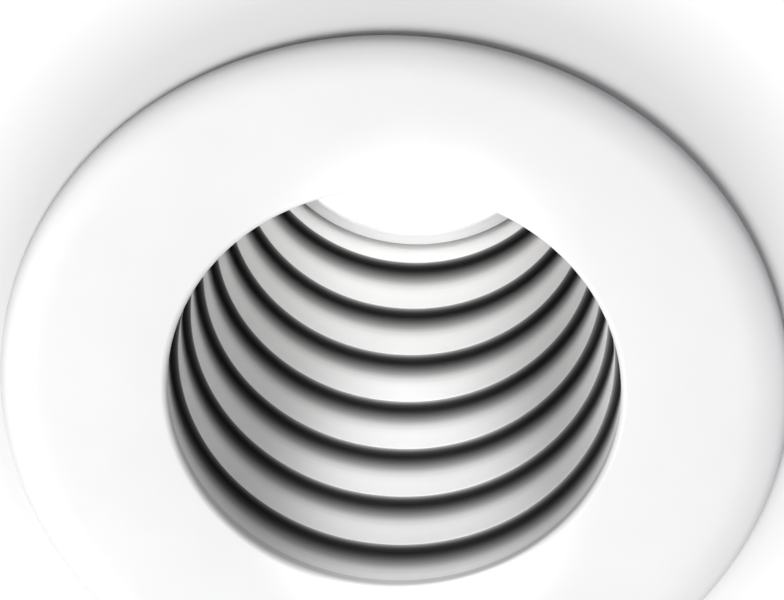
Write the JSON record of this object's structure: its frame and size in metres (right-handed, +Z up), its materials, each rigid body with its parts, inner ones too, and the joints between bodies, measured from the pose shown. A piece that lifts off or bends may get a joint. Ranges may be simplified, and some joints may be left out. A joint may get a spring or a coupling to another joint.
{
  "type": "recessed spotlight",
  "caption": "Recessed ceiling spotlight: a round white trim ring, a deep stepped baffle, a plug-in lamp, a metal can, sprung fixing clips and a connection box on top.",
  "frame": {"origin": "on the light's axis, in the plane of the ceiling's lower face, where the trim's seal meets it", "axes": "+Z points up into the ceiling along the light's axis and the light shines along -Z; +X points to the right clip and the cable gland"},
  "size_m": [0.1664, 0.12, 0.1752],
  "materials": {
    "trim_enamel": "satin white powder coat",
    "baffle_enamel": "matt white enamel, shaded dark in the steps",
    "seal_foam": "closed-cell foam",
    "galvanised_sheet": "galvanised, spangled",
    "bracket_zinc": "bright zinc plate",
    "spring_steel": "bright spring steel",
    "zinc_screws": "zinc plate",
    "rivet_alloy": "plain aluminium",
    "holder_ceramic": "unglazed",
    "contact_brass": "plain",
    "lens_glass": "frosted, lit",
    "lamp_enamel": "die-cast, with a white coat",
    "board_white": "white solder mask",
    "cap_plastic": "moulded white",
    "pin_nickel": "nickel plate",
    "pad_rubber": "soft black vinyl",
    "box_plastic": "black, fine moulded grain",
    "lid_plastic": "black, fine moulded grain",
    "seal_rubber": "moulded",
    "lead_brown": "sleeved brown",
    "lead_blue": "sleeved blue",
    "block_plastic": "natural nylon",
    "gland_plastic": "black nylon"
  },
  "bodies": {
    "root": {"bezel": "trim_enamel", "ceiling_gasket": "seal_foam", "baffle": "baffle_enamel", "lamp_retainer": "spring_steel", "holder_strap": "galvanised_sheet", "strap_screws": "zinc_screws", "can": "galvanised_sheet", "can_screws": "zinc_screws", "lamp_holder": "holder_ceramic", "holder_contacts": "contact_brass", "holder_screws": "zinc_screws", "clip_bracket_right": "bracket_zinc", "bracket_rivets_right": "rivet_alloy", "clip_pin_right": "zinc_screws", "clip_spring_right": "spring_steel", "clip_bracket_left": "bracket_zinc", "bracket_rivets_left": "rivet_alloy", "clip_pin_left": "zinc_screws", "clip_spring_left": "spring_steel", "box_base": "box_plastic", "lid_pin": "zinc_screws", "box_screws": "zinc_screws", "lead_grommet": "seal_rubber", "lead_live": "lead_brown", "lead_neutral": "lead_blue", "terminal_block": "block_plastic", "terminal_sleeves": "contact_brass", "terminal_screws": "zinc_screws", "block_screw": "zinc_screws", "gland_body": "gland_plastic", "gland_locknut": "gland_plastic", "gland_seal": "seal_rubber", "gland_nut": "gland_plastic"},
    "lamp": {"lamp_lens": "lens_glass", "lamp_body": "lamp_enamel", "led_board": "board_white", "lamp_cap": "cap_plastic", "lamp_pins": "pin_nickel"},
    "right_clip": {"clip_arm_right": "spring_steel", "clip_pad_right": "pad_rubber"},
    "left_clip": {"clip_arm_left": "spring_steel", "clip_pad_left": "pad_rubber"},
    "lid": {"box_lid": "lid_plastic"}
  },
  "joints": [
    {"name": "right_clip_fold", "type": "hinge", "parent": "root", "child": "right_clip", "pos_m": [0.0467, 0, 0.025], "axis": [0, -1, 0], "range_deg": [0, 113], "stiffness_Nm_per_rad": 0.1, "springref_deg": -28.65, "deforming": ["clip_spring_right"]},
    {"name": "left_clip_fold", "type": "hinge", "parent": "root", "child": "left_clip", "pos_m": [-0.0467, 0, 0.025], "axis": [0, 1, 0], "range_deg": [0, 113], "stiffness_Nm_per_rad": 0.1, "springref_deg": -28.65, "deforming": ["clip_spring_left"]},
    {"name": "lamp_plug", "type": "slide", "parent": "root", "child": "lamp", "axis": [0, 0, -1], "range_m": [0, 0.14]},
    {"name": "lid_hinge", "type": "hinge", "parent": "root", "child": "lid", "pos_m": [-0.0306, 0, 0.17], "axis": [0, -1, 0], "range_deg": [0, 105]}
  ]
}
